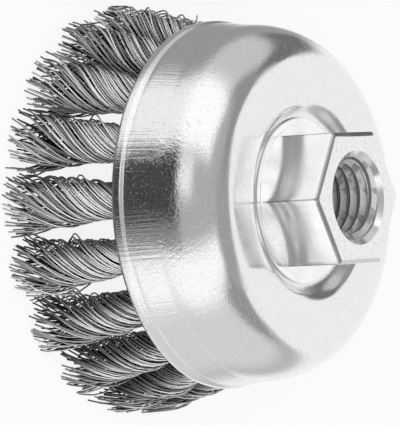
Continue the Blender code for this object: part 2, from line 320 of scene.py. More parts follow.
def math_node(tree, operation, first, second=None):
    item = tree.nodes.new("ShaderNodeMath")
    item.operation = operation
    for socket, value in zip(item.inputs, (first, second)):
        if value is None:
            continue
        if isinstance(value, (int, float)):
            socket.default_value = value
        else:
            tree.links.new(value, socket)
    return item.outputs["Value"]


def folded(tree, operation, factors):
    result = factors[0]
    for factor in factors[1:]:
        result = math_node(tree, operation, result, factor)
    return result


def product(tree, *factors):
    return folded(tree, "MULTIPLY", factors)


def largest(tree, *factors):
    return folded(tree, "MAXIMUM", factors)


def total(tree, *factors):
    return folded(tree, "ADD", factors)


def split_axes(tree, vector):
    item = tree.nodes.new("ShaderNodeSeparateXYZ")
    tree.links.new(vector, item.inputs["Vector"])
    return (item.outputs[axis] for axis in "XYZ")


def bump(tree, height, distance, strength, normal=None):
    item = tree.nodes.new("ShaderNodeBump")
    item.inputs["Distance"].default_value = distance
    item.inputs["Strength"].default_value = strength
    tree.links.new(height, item.inputs["Height"])
    if normal is not None:
        tree.links.new(normal, item.inputs["Normal"])
    return item.outputs["Normal"]


def mixed_colour(tree, factor, first, second):
    item = tree.nodes.new("ShaderNodeMix")
    item.data_type = "RGBA"
    tree.links.new(factor, item.inputs["Factor"])
    for number, tone in ((6, first), (7, second)):
        item.inputs[number].default_value = (*tone, 1.0)
    return item.outputs[2]


def darker(tone, factor):
    return tuple(channel * factor for channel in tone)


GRAIN_DEPTH = 0.03 * MM
GRAIN_STRENGTH = 0.4


def metal_grain_group():
    """The group that the zinc and the stamped steel share: fine grain, slow clouds and the grain's
    bump.
    """
    name = "metal_grain"
    if name in bpy.data.node_groups:
        return bpy.data.node_groups[name]
    group = bpy.data.node_groups.new(name, "ShaderNodeTree")
    group.interface.new_socket("Place", in_out="INPUT", socket_type="NodeSocketVector")
    for socket in ("Grain Scale", "Grain Detail", "Grain Roughness", "Grain Swirl", "Cloud Scale"):
        group.interface.new_socket(socket, in_out="INPUT", socket_type="NodeSocketFloat")
    group.interface.new_socket("Grain", in_out="OUTPUT", socket_type="NodeSocketFloat")
    group.interface.new_socket("Clouds", in_out="OUTPUT", socket_type="NodeSocketFloat")
    group.interface.new_socket("Normal", in_out="OUTPUT", socket_type="NodeSocketVector")
    given = group.nodes.new("NodeGroupInput").outputs
    result = group.nodes.new("NodeGroupOutput").inputs
    grain = noise(group, given["Place"])
    for socket, source in (
        ("Scale", "Grain Scale"),
        ("Detail", "Grain Detail"),
        ("Roughness", "Grain Roughness"),
        ("Distortion", "Grain Swirl"),
    ):
        group.links.new(given[source], grain.node.inputs[socket])
    clouds = noise(group, given["Place"])
    group.links.new(given["Cloud Scale"], clouds.node.inputs["Scale"])
    group.links.new(grain, result["Grain"])
    group.links.new(clouds, result["Clouds"])
    group.links.new(bump(group, grain, GRAIN_DEPTH, GRAIN_STRENGTH), result["Normal"])
    return group


def metal_grain(tree, place, scale, detail, clouds, roughness=0.55, swirl=0.0):
    """Places the shared group in a material with the material's own values."""
    item = tree.nodes.new("ShaderNodeGroup")
    item.node_tree = metal_grain_group()
    item.inputs["Grain Scale"].default_value = scale
    item.inputs["Grain Detail"].default_value = detail
    item.inputs["Grain Roughness"].default_value = roughness
    item.inputs["Grain Swirl"].default_value = swirl
    item.inputs["Cloud Scale"].default_value = clouds
    tree.links.new(place, item.inputs["Place"])
    return item.outputs


DRAWN_TOP = (LIP_Z + 9.5 * MM, LIP_Z + 6.5 * MM)
NECK_START = (LIP_Z + 5.5 * MM, LIP_Z + 8.5 * MM)
NECK_END = (LIP_Z + 15.5 * MM, LIP_Z + 12.0 * MM)
BACK_EDGE = (BACK_Z - 0.3 * MM, BACK_Z - 1.5 * MM)
STREAK_SCALE = (2400.0, 55.0, 1.0)
# Scale and turn in radians of each set of scratches
SCRATCHES = (((5200.0, 5200.0, 210.0), 0.7), ((4700.0, 230.0, 4700.0), -0.5))
SCRATCH_SHARE = (0.70, 0.76)
SCRATCH_DARKNESS = 0.22
MOTTLE_DARKNESS = 0.12
# Depth and strength of each relief
STREAK_RELIEF = (0.06 * MM, 0.8)
PEEL_RELIEF = (0.03 * MM, 0.8)
DENT_RELIEF = (0.06 * MM, 0.8)
SCORE_RELIEF = (0.02 * MM, 0.7)


def polished_zinc(name, tone):
    """Bright zinc on a drawn pressing: streaks along the axis, mottled and finely scratched."""
    material, tree, shader = new_material(name)
    shader.inputs["Metallic"].default_value = 1.0
    place = tree.nodes.new("ShaderNodeTexCoord").outputs
    _, _, z = split_axes(tree, place["Object"])
    skirt = ramp(tree, z, DRAWN_TOP)
    shoulder = ramp(tree, z, BACK_EDGE, (0.25, 1.0))
    neck = product(tree, ramp(tree, z, NECK_START), ramp(tree, z, NECK_END))

    streaks = noise(tree, stretched(tree, place["UV"], STREAK_SCALE), detail=3.0)
    shared = metal_grain(tree, place["Object"], 2300.0, 3.0, 260.0, roughness=0.6, swirl=0.8)
    mottle, clouds = shared["Grain"], shared["Clouds"]
    dents = noise(tree, place["Object"], 1100.0, 3.0, 0.65, 0.5)
    lines = (
        noise(tree, stretched(tree, place["Object"], scale, turn), detail=1.0)
        for scale, turn in SCRATCHES
    )
    scratches = largest(tree, *(ramp(tree, line, SCRATCH_SHARE) for line in lines))

    roughness = total(
        tree,
        ramp(tree, clouds, (0.35, 0.65), (0.07, 0.15)),
        ramp(tree, mottle, (0.35, 0.65), (0.0, 0.06)),
    )
    tree.links.new(roughness, shader.inputs["Roughness"])
    grime = largest(
        tree,
        ramp(tree, mottle, (0.4, 0.75), (0.0, MOTTLE_DARKNESS)),
        product(tree, scratches, SCRATCH_DARKNESS),
    )
    tree.links.new(mixed_colour(tree, grime, tone, darker(tone, 0.4)), shader.inputs["Base Color"])
    drawn = bump(tree, product(tree, streaks, skirt), *STREAK_RELIEF)
    peel = bump(tree, product(tree, mottle, shoulder), *PEEL_RELIEF, drawn)
    worn = bump(tree, product(tree, dents, neck), *DENT_RELIEF, peel)
    scored = math_node(tree, "SUBTRACT", 1.0, scratches)
    tree.links.new(bump(tree, scored, *SCORE_RELIEF, worn), shader.inputs["Normal"])
    return material


# Part of a pitch from mid-groove at which the thread's two lines of painted shade start and are
# full
CREST_LINE = (0.38, 0.42)
ROOT_LINE = (0.08, 0.05)
THREAD_LINE_SHADE = 0.97
# Painted shade on the turned bevel round the outer face
BEVEL_SHADE = 0.42
BEVEL_START = (9.2 * MM, 9.4 * MM)
# Radians from a corner of the hexagon, heights and radii over which painted shade darkens it
CORNER_SHADE = 0.6
CORNER_WIDTH = (0.006, 0.016)
CORNER_FOOT = (FLANGE_BOTTOM_Z + 0.6 * MM, FLANGE_BOTTOM_Z + 0.8 * MM)
CORNER_REACH = (12.3 * MM, 12.5 * MM)
LATHE_SCALE = (300.0, 300.0, 9000.0)
SMEAR_SCALE = (420.0, 420.0, 60.0)


def satin_zinc(name, tone, nut):
    """Zinc plate on forged and cut faces, finely pitted.

    The turned bevel and the hexagon's corners get painted shade, the outer
    face is speckled, and the cut thread is duller, with lines of painted shade
    along its crests and roots, marks of the tool and smears.
    """
    material, tree, shader = new_material(name)
    place = tree.nodes.new("ShaderNodeTexCoord").outputs["Object"]
    x, y, z = split_axes(tree, place)
    radius = math_node(tree, "SQRT", total(tree, product(tree, x, x), product(tree, y, y)))
    turn_round = total(tree, math_node(tree, "ARCTAN2", y, x), 2 * math.pi)
    turn = math_node(tree, "MODULO", turn_round, math.pi / 3)
    from_corner = math_node(tree, "ABSOLUTE", math_node(tree, "SUBTRACT", turn, math.pi / 6))
    shared = metal_grain(tree, place, 1500.0, 3.0, 260.0)
    clouds = shared["Clouds"]
    top_of_flats = NUT_TOP_Z - nut.bevel_drop

    # Painted shade on the bevel
    bevel = product(
        tree,
        ramp(tree, radius, BEVEL_START, (0.0, BEVEL_SHADE)),
        ramp(tree, z, (top_of_flats - 0.04 * MM, top_of_flats + 0.02 * MM)),
        ramp(tree, z, (NUT_TOP_Z - 0.05 * MM, NUT_TOP_Z - 0.01 * MM), (1.0, 0.0)),
    )
    # Painted shade along the hexagon's corners
    corners = product(
        tree,
        ramp(tree, from_corner, CORNER_WIDTH, (CORNER_SHADE, 0.0)),
        ramp(tree, z, CORNER_FOOT),
        ramp(tree, radius, CORNER_REACH),
    )
    specks = product(
        tree,
        ramp(tree, noise(tree, place, 2600.0, 3.0), (0.54, 0.76), (0.1, 0.45)),
        ramp(tree, z, (NUT_TOP_Z - 0.02 * MM, NUT_TOP_Z - 0.01 * MM)),
    )

    bore_edge = (nut.thread_radius + 0.02 * MM, nut.thread_radius + 0.2 * MM)
    bore = ramp(tree, radius, bore_edge, (1.0, 0.0))
    turns_climbed = product(tree, z, 1.0 / nut.thread_pitch)
    turns_round = product(tree, turn_round, 0.5 / math.pi)
    climb = math_node(tree, "FRACT", math_node(tree, "SUBTRACT", turns_climbed, turns_round))
    climb = math_node(tree, "ABSOLUTE", math_node(tree, "SUBTRACT", climb, 0.5))
    lathe_marks = noise(tree, stretched(tree, place, LATHE_SCALE), detail=2.0)
    smears = noise(tree, stretched(tree, place, SMEAR_SCALE), detail=3.0)
    # Painted shade along the crests and roots, with the real tool marks and smears
    thread_shade_and_marks = largest(
        tree,
        ramp(tree, climb, CREST_LINE, (0.0, THREAD_LINE_SHADE)),
        ramp(tree, climb, ROOT_LINE, (0.0, THREAD_LINE_SHADE)),
        ramp(tree, lathe_marks, (0.55, 0.7), (0.0, 0.4)),
        ramp(tree, smears, (0.52, 0.62), (0.0, 0.6)),
    )

    # Painted shade on the bevel, the corners and the thread, with the real specks and clouds
    dark = largest(
        tree, bevel, corners, specks,
        ramp(tree, clouds, (0.35, 0.7), (0.0, 0.1)),
        product(tree, thread_shade_and_marks, bore),
    )
    tree.links.new(mixed_colour(tree, dark, tone, darker(tone, 0.15)), shader.inputs["Base Color"])
    tree.links.new(ramp(tree, bore, (0.0, 1.0), (1.0, 0.05)), shader.inputs["Metallic"])
    roughness = total(
        tree,
        ramp(tree, clouds, (0.3, 0.7), (0.12, 0.26)),
        ramp(tree, bore, (0.0, 1.0), (0.0, 0.1)),
    )
    tree.links.new(roughness, shader.inputs["Roughness"])
    tree.links.new(shared["Normal"], shader.inputs["Normal"])
    return material


def stamped_steel(name, tone):
    """Plain cold-rolled steel with a fine grain."""
    material, tree, shader = new_material(name)
    shader.inputs["Metallic"].default_value = 1.0
    place = tree.nodes.new("ShaderNodeTexCoord").outputs["Object"]
    shared = metal_grain(tree, place, 1800.0, 4.0, 200.0)
    tree.links.new(ramp(tree, shared["Grain"], (0.3, 0.7), (0.32, 0.5)), shader.inputs["Roughness"])
    patchy = mixed_colour(tree, ramp(tree, shared["Clouds"], (0.3, 0.7)), tone, darker(tone, 0.75))
    tree.links.new(patchy, shader.inputs["Base Color"])
    tree.links.new(shared["Normal"], shader.inputs["Normal"])
    return material


# A wire's UV holds its number plus this much, plus its painted light times the share left
UV_MARGIN = 0.1
UV_SHARE = 0.8


def drawn_wire(name, tone):
    """Drawn steel wire with a painted highlight along the line that looks out of the bundle, and
    painted shade within.

    Each wire is a little different, by a throw of dice on its number.
    """
    material, tree, shader = new_material(name)
    shader.inputs["Metallic"].default_value = 0.2
    place = tree.nodes.new("ShaderNodeTexCoord").outputs["UV"]
    along, outwardness, _ = split_axes(tree, place)
    # The painted light and shade carried in the UV's fraction
    painted_light = ramp(tree, math_node(tree, "FRACT", along), (UV_MARGIN, UV_MARGIN + UV_SHARE))
    dice = tree.nodes.new("ShaderNodeTexWhiteNoise")
    dice.noise_dimensions = "1D"
    tree.links.new(math_node(tree, "FLOOR", along), dice.inputs["W"])
    throw = dice.outputs["Value"]
    tree.links.new(ramp(tree, throw, (0.0, 1.0), (0.13, 0.24)), shader.inputs["Roughness"])
    # Painted highlight along the corner that looks out of the bundle, times the painted light and
    # each wire's own tone
    bright = product(
        tree,
        painted_light,
        ramp(tree, throw, (0.1, 0.5), (0.3, 1.0)),
        ramp(tree, outwardness, (-0.15, 0.2)),
    )
    # From painted shade, nearly black, to the steel's tone
    shaded = mixed_colour(tree, bright, darker(tone, 0.006), tone)
    tree.links.new(shaded, shader.inputs["Base Color"])
    return material


# Cup

LIP_EDGE = 0.7 * MM
LIP_BREAK = 0.1 * MM
BAND_DRAFT = 0.06 * MM
GROOVE_DEPTH = 0.05 * MM
GROOVE_START = 0.5 * MM
GROOVE_END = 1.3 * MM
LIP_ROUNDING = 0.35 * MM
DISH_ROUNDING = 1.3 * MM
BACK_LEAD = 0.5 * MM
SHOULDER_STEPS = 40
PROFILE_SPACING = 0.6 * MM
CUP_COLUMNS = 216


def cup_profile(cup):
    """Outer side of the cup as a line of (radius, height), from the lip to the hole.

    A round edge, a band, a groove, the skirt, a quarter ellipse for the
    shoulder, the flat back and the dish, with soft corners.
    """
    groove = LIP_RADIUS - cup.lip_flare
    neck = groove - cup.neck_taper
    band_top = LIP_Z + cup.band_height
    lip = rounded([
        (LIP_RADIUS - LIP_EDGE, LIP_Z),
        (LIP_RADIUS - LIP_BREAK, LIP_Z),
        (LIP_RADIUS, LIP_Z + LIP_EDGE),
        (LIP_RADIUS - BAND_DRAFT, band_top),
        (groove - GROOVE_DEPTH, band_top + GROOVE_START),
        (groove, band_top + GROOVE_END),
        (neck, LIP_Z + cup.neck_height),
    ], LIP_ROUNDING)
    angles = np.radians(np.linspace(0.0, 90.0, SHOULDER_STEPS))[1:]
    width = neck - cup.flat_radius
    height = BACK_Z - LIP_Z - cup.neck_height
    shoulder = np.stack([
        cup.flat_radius + width * np.cos(angles),
        LIP_Z + cup.neck_height + height * np.sin(angles),
    ], axis=1)
    dish_z = BACK_Z - cup.dish_depth
    back = rounded([
        (cup.flat_radius - BACK_LEAD, BACK_Z),
        (cup.dish_radius, BACK_Z),
        (cup.dish_floor, dish_z),
        (cup.hole_radius, dish_z),
    ], DISH_ROUNDING)
    return np.concatenate([lip, shoulder, back])


def cup_mesh(cup):
    """The cup's outer side, and the same line moved in by the wall, turned round Z."""
    outer = resampled(cup_profile(cup), PROFILE_SPACING)
    inner = offset_line(outer, cup.wall)
    inner[:, 1] = np.maximum(inner[:, 1], LIP_Z)
    profile = np.concatenate([outer, inner[::-1]])
    radii = np.repeat(profile[:, :1], CUP_COLUMNS, axis=1)
    heights = np.repeat(profile[:, 1:], CUP_COLUMNS, axis=1)
    return turned_mesh("cup_shell", radii, heights)


# Nut

COLLAR_EDGE = 0.3 * MM
CORNER_BREAK = 0.06 * MM
STEP_REACH = 0.14 * MM
STEP_HEIGHT = 0.06 * MM
# Rows this far from an edge keep its shading crisp
EDGE_SET = 0.05 * MM
FLANGE_FOOT = 0.02 * MM
FLANGE_EDGE_STEPS = 6
BEVEL_TOP_SET = 0.03 * MM
FACE_SET = 0.04 * MM
FLANGE_TOP_PARTS = (0.04, 0.5, 0.97, 1.0)
FLAT_PARTS = (0.01, 0.33, 0.66, 0.99)
FACE_PARTS = (0.0, 0.3, 0.65, 0.97, 1.0)
NUT_COLUMNS = 192
ROWS_PER_PITCH = 40
THREAD_DEPTH_RATIO = 0.5413
# Parts of a pitch from mid-groove at which the crest starts and the root ends
CREST_START = 0.375
ROOT_HALF = 0.0625
GROOVE_STRAIGHT = 0.7
GROOVE_SOFT = 0.3
THREAD_TOP_SET = 0.06 * MM


def thread_rows(nut, angles):
    """Radius and height down the bore, and the thread's minor radius.

    The radius follows the thread's V, which climbs one pitch a turn,
    right-handed. Its sides are part straight and part smooth at both ends, and
    a cone of 45 degrees opens its mouth.
    """
    depth = THREAD_DEPTH_RATIO * nut.thread_pitch
    minor = nut.thread_radius - depth
    step = nut.thread_pitch / ROWS_PER_PITCH
    heights = np.arange(NUT_TOP_Z - THREAD_TOP_SET, COLLAR_BOTTOM_Z + EDGE_SET, -step)[:, None]
    phase = (heights / nut.thread_pitch - angles / (2 * math.pi)) % 1.0
    share_in = np.clip((CREST_START - np.abs(phase - 0.5)) / (CREST_START - ROOT_HALF), 0.0, 1.0)
    groove = GROOVE_STRAIGHT * share_in + GROOVE_SOFT * smooth_step(share_in, 0.0, 1.0)
    cone = nut.mouth_radius - (NUT_TOP_Z - heights)
    radii = np.maximum(minor + depth * groove, cone)
    return radii, np.broadcast_to(heights, radii.shape), minor


def nut_rows(nut):
    """Radius and height of the nut's surface, row by row along its closed profile.

    Rows go from the collar's bottom edge up the outside and down the bore. The
    hexagon's radius at an angle is half the width across flats divided by the
    cosine of the angle from the nearest flat. The flange's edge is a quarter
    ellipse, and a small step rings the hexagon's corners.
    """
    angles = np.arange(NUT_COLUMNS) * 2 * math.pi / NUT_COLUMNS
    from_flat = (angles + math.pi / 6) % (math.pi / 3) - math.pi / 6
    corner = nut.across_flats / 2 / math.cos(math.pi / 6)
    hexagon = np.minimum(nut.across_flats / 2 / np.cos(from_flat), corner - CORNER_BREAK)
    level = np.ones(NUT_COLUMNS)
    flange_top = FLANGE_BOTTOM_Z + nut.flange_thickness
    rows = []

    def add_row(radius, height):
        rows.append((radius * level, height * level))

    add_row(nut.collar_radius - COLLAR_EDGE, COLLAR_BOTTOM_Z)
    add_row(nut.collar_radius, COLLAR_BOTTOM_Z + COLLAR_EDGE)
    add_row(nut.collar_radius, COLLAR_TOP_Z - COLLAR_EDGE)
    add_row(nut.collar_radius - COLLAR_EDGE, COLLAR_TOP_Z)
    add_row(nut.spigot_radius, COLLAR_TOP_Z)
    add_row(nut.spigot_radius, FLANGE_BOTTOM_Z)

    add_row(FLANGE_RADIUS - EDGE_SET, FLANGE_BOTTOM_Z)
    step_radius = corner + STEP_REACH
    step_z = flange_top - STEP_HEIGHT
    edge_height = step_z - EDGE_SET - FLANGE_BOTTOM_Z
    for turn in np.radians(np.linspace(0.0, 90.0, FLANGE_EDGE_STEPS)):
        radius = FLANGE_RADIUS - nut.flange_edge * (1.0 - math.cos(turn))
        add_row(radius, FLANGE_BOTTOM_Z + FLANGE_FOOT + edge_height * math.sin(turn))
    add_row(step_radius, step_z)
    step_top = step_radius - EDGE_SET
    add_row(step_top, flange_top)
    for part in FLANGE_TOP_PARTS:
        add_row(step_top + (hexagon - step_top) * part, flange_top)

    top_of_flats = NUT_TOP_Z - nut.bevel_drop
    for part in FLAT_PARTS:
        add_row(hexagon, flange_top + (top_of_flats - flange_top) * part)
    add_row(hexagon - EDGE_SET, top_of_flats + BEVEL_TOP_SET)
    add_row(hexagon - nut.bevel + EDGE_SET, NUT_TOP_Z - BEVEL_TOP_SET)
    inner_face = hexagon - nut.bevel - FACE_SET
    for part in FACE_PARTS:
        add_row(inner_face + (nut.mouth_radius - inner_face) * part, NUT_TOP_Z)

    bore_radii, bore_heights, minor = thread_rows(nut, angles)
    radii = np.concatenate([[row[0] for row in rows], bore_radii, [minor * level]])
    heights = np.concatenate([[row[1] for row in rows], bore_heights, [COLLAR_BOTTOM_Z * level]])
    return radii, heights


# Wires

WEB_WIDTH = 2.2 * MM
WEB_RADIUS = RIM_RADIUS - WEB_WIDTH
PLATE_TOP_Z = PLATE_HIGH.z
PLATE_BOTTOM_Z = PLATE_LOW.z
LOOP_REACH = 1.35 * MM
LOOP_HALF_THICKNESS = 0.85 * MM
LOOP_HALF_WIDTH = 1.5 * MM
# Places of the wires across the loop's thickness, as shares of half of it
LOOP_LAYERS = (-0.6, 0.0, 0.6)
LOOP_ARC_STEPS = 4
ROOT_RADIUS = (WEB_RADIUS + RIM_RADIUS) / 2
ROOT_DROP = 1.8 * MM
ROOT_Z = PLATE_BOTTOM_Z - ROOT_DROP

# Wire ends in each ring of a bundle, and the ring's radius as a share of the bundle's
RINGS = ((4, 0.15), (10, 0.38), (20, 0.62), (30, 0.82), (42, 1.0))
SHAFT_STEPS = 28
WIRE_SIDES = 5
FIRST_SEED = 4100
ANY_TURN = 6.28
PHASE_JITTER = 0.2
TRIM_BIAS = 1.6
# Shares of the free length, from the lip
BELLY_FULL = 0.42
SPLAY_START = 0.4
SPLAY_BEND = 1.5
# Waves round the bundle, and their strength
LUMPS = ((2, 0.03), (3, 0.03), (5, 0.03), (8, 0.025))
WILDNESS = 0.35
PLAY_AT_LIP = 0.05 * MM
WANDER_BEND = 2.2
# Reach of a wire's ripple, and its turns in radians along the free length
RIPPLE_OUT = (0.06 * MM, 9.0)
RIPPLE_SIDE = (0.05 * MM, 7.0)
RIPPLE_SHIFT = 3.0
STRAYS = 3
STRAY_MIDDLE = (0.35, 0.8)
STRAY_WIDTH = (0.16, 0.26)
STRAY_REACH = (0.4, 1.2)
BUNCHES = 9
BUNCHING = 0.2
INNER_LIMIT = 0.8 * MM
RADIUS_LIMIT = 34.7 * MM
RADIUS_ROOM = 0.7 * MM
LOWEST_TIP = 0.3 * MM
LEVEL_TIPS = 4 * MM
# Painted shade on the wires: inside the bundle, on the trailing side of each knot and towards the
# tips
INNER_SHADE_START = 0.7
INNER_SHADE_WIDTH = 0.25
TRAILING_SHADE = 0.8
TRAILING_SIDE = (0.3, 0.95)
TIP_SHADE = 0.35
TIP_SHARE = (0.55, 1.0)


def centre_line(wire, heights):
    """Radius of a knot's centre line and its slope: the parabola through root, lip and tips."""
    stations = ((ROOT_Z, ROOT_RADIUS), (LIP_Z, wire.lip_circle), (0.0, wire.tip_circle))
    bend = np.polyfit([z for z, _ in stations], [r for _, r in stations], 2)
    return np.polyval(bend, heights), np.polyval(np.polyder(bend), heights)


def turn_at(wire, heights):
    """Angle of the twist, zero at the lip.

    Its rate is even, then falls evenly along the straight end to the tips.
    """
    change = (1.0 / wire.lay_at_lip - 1.0 / wire.lay_at_tip) / wire.straight
    below = np.clip(wire.straight - heights, 0.0, wire.straight)
    return 2 * math.pi * ((heights - LIP_Z) / wire.lay_at_lip + change * below * below / 2)


def shaft_paths(wire, rng):
    """Wire ends of one knot, from the tips up to the root, as (ends, steps, 7) on +X.

    Each wire keeps its place in the bundle while the bundle turns right-handed,
    opens towards the tips and grows uneven: a slow lumpiness that neighbouring
    wires share, and a small wander of each wire's own. The seven columns are
    the point, the direction out of the bundle there, and the wire's painted
    light: full on the outside, with painted shade inside the bundle, on the
    trailing side and towards the tips.
    """
    counts = [count for count, _ in RINGS]
    place = np.concatenate([np.full(count, reach) for count, reach in RINGS])
    phase = np.concatenate([
        (np.arange(count) + rng.uniform(-PHASE_JITTER, PHASE_JITTER, count)) / count * 2 * math.pi
        + rng.uniform(0, ANY_TURN)
        for count in counts
    ])
    ends = len(place)
    low = wire.trim * rng.uniform(0.0, 1.0, ends) ** TRIM_BIAS
    t = np.linspace(0.0, 1.0, SHAFT_STEPS)
    heights = low[:, None] + (ROOT_Z - low[:, None]) * t
    free = np.clip((LIP_Z - heights) / LIP_Z, 0.0, 1.0)
    swell = np.clip(free / BELLY_FULL, 0.0, 1.0)
    opened = np.clip((free - SPLAY_START) / (1.0 - SPLAY_START), 0.0, 1.0)
    bundle = wire.lip_radius + wire.belly * np.sin(swell * math.pi / 2)
    bundle += wire.splay * opened**SPLAY_BEND

    lumps = sum(
        strength * np.sin(waves * phase + rng.uniform(0, ANY_TURN)) for waves, strength in LUMPS
    )
    radial = bundle * place[:, None] * (1.0 + (lumps * place)[:, None])
    own = rng.normal(size=(4, ends, 1))
    own *= 1.0 + WILDNESS * np.abs(own)
    spread = PLAY_AT_LIP + wire.wander * free**WANDER_BEND

    def ripple(reach, turns, shift):
        return reach * np.sin(turns * heights / LIP_Z + RIPPLE_SHIFT * shift)

    radial = radial + spread * own[0] + ripple(*RIPPLE_OUT, own[1])
    sideways = spread * own[2] + ripple(*RIPPLE_SIDE, own[3])

    outer = np.flatnonzero(place == 1.0)
    for stray in rng.choice(outer, STRAYS, replace=False):
        middle = rng.uniform(*STRAY_MIDDLE)
        width = rng.uniform(*STRAY_WIDTH)
        reach = rng.uniform(*STRAY_REACH) * MM
        radial[stray] += reach * np.exp(-(((free[stray] - middle) / width) ** 2))

    bunched = phase + BUNCHING * np.sin(BUNCHES * phase + rng.uniform(0, ANY_TURN)) / BUNCHES
    angle = bunched[:, None] + turn_at(wire, heights) + sideways / radial.clip(INNER_LIMIT)
    centre, slope = centre_line(wire, heights)
    lean = 1.0 / np.sqrt(1.0 + slope**2)
    across = radial * np.cos(angle)
    # The wire's painted light: painted shade inside the bundle, then on the trailing side and
    # towards the tips
    painted_light = np.clip((place - INNER_SHADE_START) / INNER_SHADE_WIDTH, 0.0, 1.0)[:, None]
    painted_light = painted_light * (1.0 - TRAILING_SHADE * smooth_step(-np.sin(angle), *TRAILING_SIDE))
    painted_light = painted_light * (1.0 - TIP_SHADE * smooth_step(free, *TIP_SHARE))
    tilt = across * slope * lean * smooth_step(heights, 0.0, LEVEL_TIPS)
    return np.stack([
        centre + across * lean,
        radial * np.sin(angle),
        np.maximum(heights - tilt, LOWEST_TIP),
        np.cos(angle) * lean,
        np.sin(angle),
        -np.cos(angle) * slope * lean,
        painted_light,
    ], axis=2)


def looped_wires(wire, rng):
    """Joins the ends in pairs over the plate, as (wires, steps, 7).

    At the root the inner half of the bundle goes up through the hole and the
    outer half up past the rim, and a half turn over the web joins each pair.
    """
    ends = shaft_paths(wire, rng)
    root = ends[:, -1]
    by_radius = np.argsort(root[:, 0])
    half = len(by_radius) // 2
    inner = by_radius[:half]
    outer = by_radius[half:2 * half]
    inner = inner[np.argsort(root[inner, 1])]
    outer = outer[np.argsort(root[outer, 1])]

    share_across = np.linspace(-1.0, 1.0, half)
    depth = np.tile(LOOP_LAYERS, half)[:half]
    y = share_across * LOOP_HALF_WIDTH
    reach = LOOP_REACH + depth * LOOP_HALF_THICKNESS
    turn = np.radians(np.linspace(180.0, 90.0, LOOP_ARC_STEPS))
    corner_in = np.stack([
        WEB_RADIUS + reach[:, None] * np.cos(turn),
        np.repeat(y[:, None], len(turn), axis=1),
        PLATE_TOP_Z + reach[:, None] * np.sin(turn),
    ], axis=2)
    corner_out = corner_in[:, ::-1].copy()
    corner_out[..., 0] = WEB_RADIUS + RIM_RADIUS - corner_out[..., 0]
    leg_in = corner_in[:, :1].copy()
    leg_in[..., 2] = PLATE_BOTTOM_Z
    leg_out = corner_out[:, -1:].copy()
    leg_out[..., 2] = PLATE_BOTTOM_Z
    loop = np.concatenate([leg_in, corner_in, corner_out, leg_out], axis=1)
    outward = np.broadcast_to([0.0, 0.0, 1.0, 1.0], (*loop.shape[:2], 4))
    loop = np.concatenate([loop, outward], axis=2)
    return np.concatenate([ends[inner], loop, ends[outer][:, ::-1]], axis=1)


def swept_mesh(name, paths, outward, painted_light, radius):
    """Round wires carried along their paths, (wires, steps, 3), with flat ends.

    Each cross-section is a regular polygon square to the path, with its first
    corner on the side that looks out of the bundle. UV holds the wire's number
    plus its painted light, and how far the corner looks outward, along which
    the material paints a highlight.
    """
    wires, steps, _ = paths.shape
    along = unit(np.gradient(paths, axis=1))
    second = unit(np.cross(along, outward))
    first = np.cross(second, along)
    angles = np.arange(WIRE_SIDES) * 2 * math.pi / WIRE_SIDES
    ring = (
        first[:, :, None] * np.cos(angles)[:, None]
        + second[:, :, None] * np.sin(angles)[:, None]
    )
    points = paths[:, :, None] + radius * ring
    numbers = np.arange(wires * steps * WIRE_SIDES).reshape(wires, steps, WIRE_SIDES)
    following = np.roll(numbers, -1, axis=2)
    quads = np.stack(
        [numbers[:, :-1], following[:, :-1], following[:, 1:], numbers[:, 1:]], axis=3
    ).reshape(-1, 4)
    start_caps = numbers[:, 0, ::-1]
    end_caps = numbers[:, -1]
    own = np.arange(wires)[:, None] + UV_MARGIN + painted_light * UV_SHARE
    uv_points = np.stack(np.broadcast_arrays(own[..., None], np.cos(angles)), axis=3).reshape(-1, 2)
    faces = [quads, start_caps, end_caps]
    corners = np.concatenate([part.ravel() for part in faces])
    return build_mesh(name, points.reshape(-1, 3), faces, uv_points[corners])


def limited(points):
    """Draws in what would reach past the tip circle's outer radius.

    Past the limit a radius is the limit plus the room times the hyperbolic
    tangent of what goes over it, measured in rooms.
    """
    reach = np.linalg.norm(points[..., :2], axis=-1, keepdims=True)
    over = np.maximum(reach - RADIUS_LIMIT, 0.0)
    drawn_in = RADIUS_LIMIT + RADIUS_ROOM * np.tanh(over / RADIUS_ROOM)
    shrunk = np.where(over > 0.0, drawn_in, reach)
    points = points.copy()
    points[..., :2] *= shrunk / reach
    return points


def knot_mesh(wire, index):
    """The wires of one knot, turned to its place in the ring."""
    rng = np.random.default_rng(FIRST_SEED + index)
    wires = looped_wires(wire, rng)
    angle = FIRST_KNOT_ANGLE + index * 2 * math.pi / KNOT_COUNT
    turn = np.array([
        [math.cos(angle), -math.sin(angle), 0.0],
        [math.sin(angle), math.cos(angle), 0.0],
        [0.0, 0.0, 1.0],
    ])
    name = f"wires_{index + 1:02d}"
    points = limited(wires[..., :3] @ turn.T)
    return swept_mesh(name, points, wires[..., 3:6] @ turn.T, wires[..., 6], wire.wire_radius)


# Stage

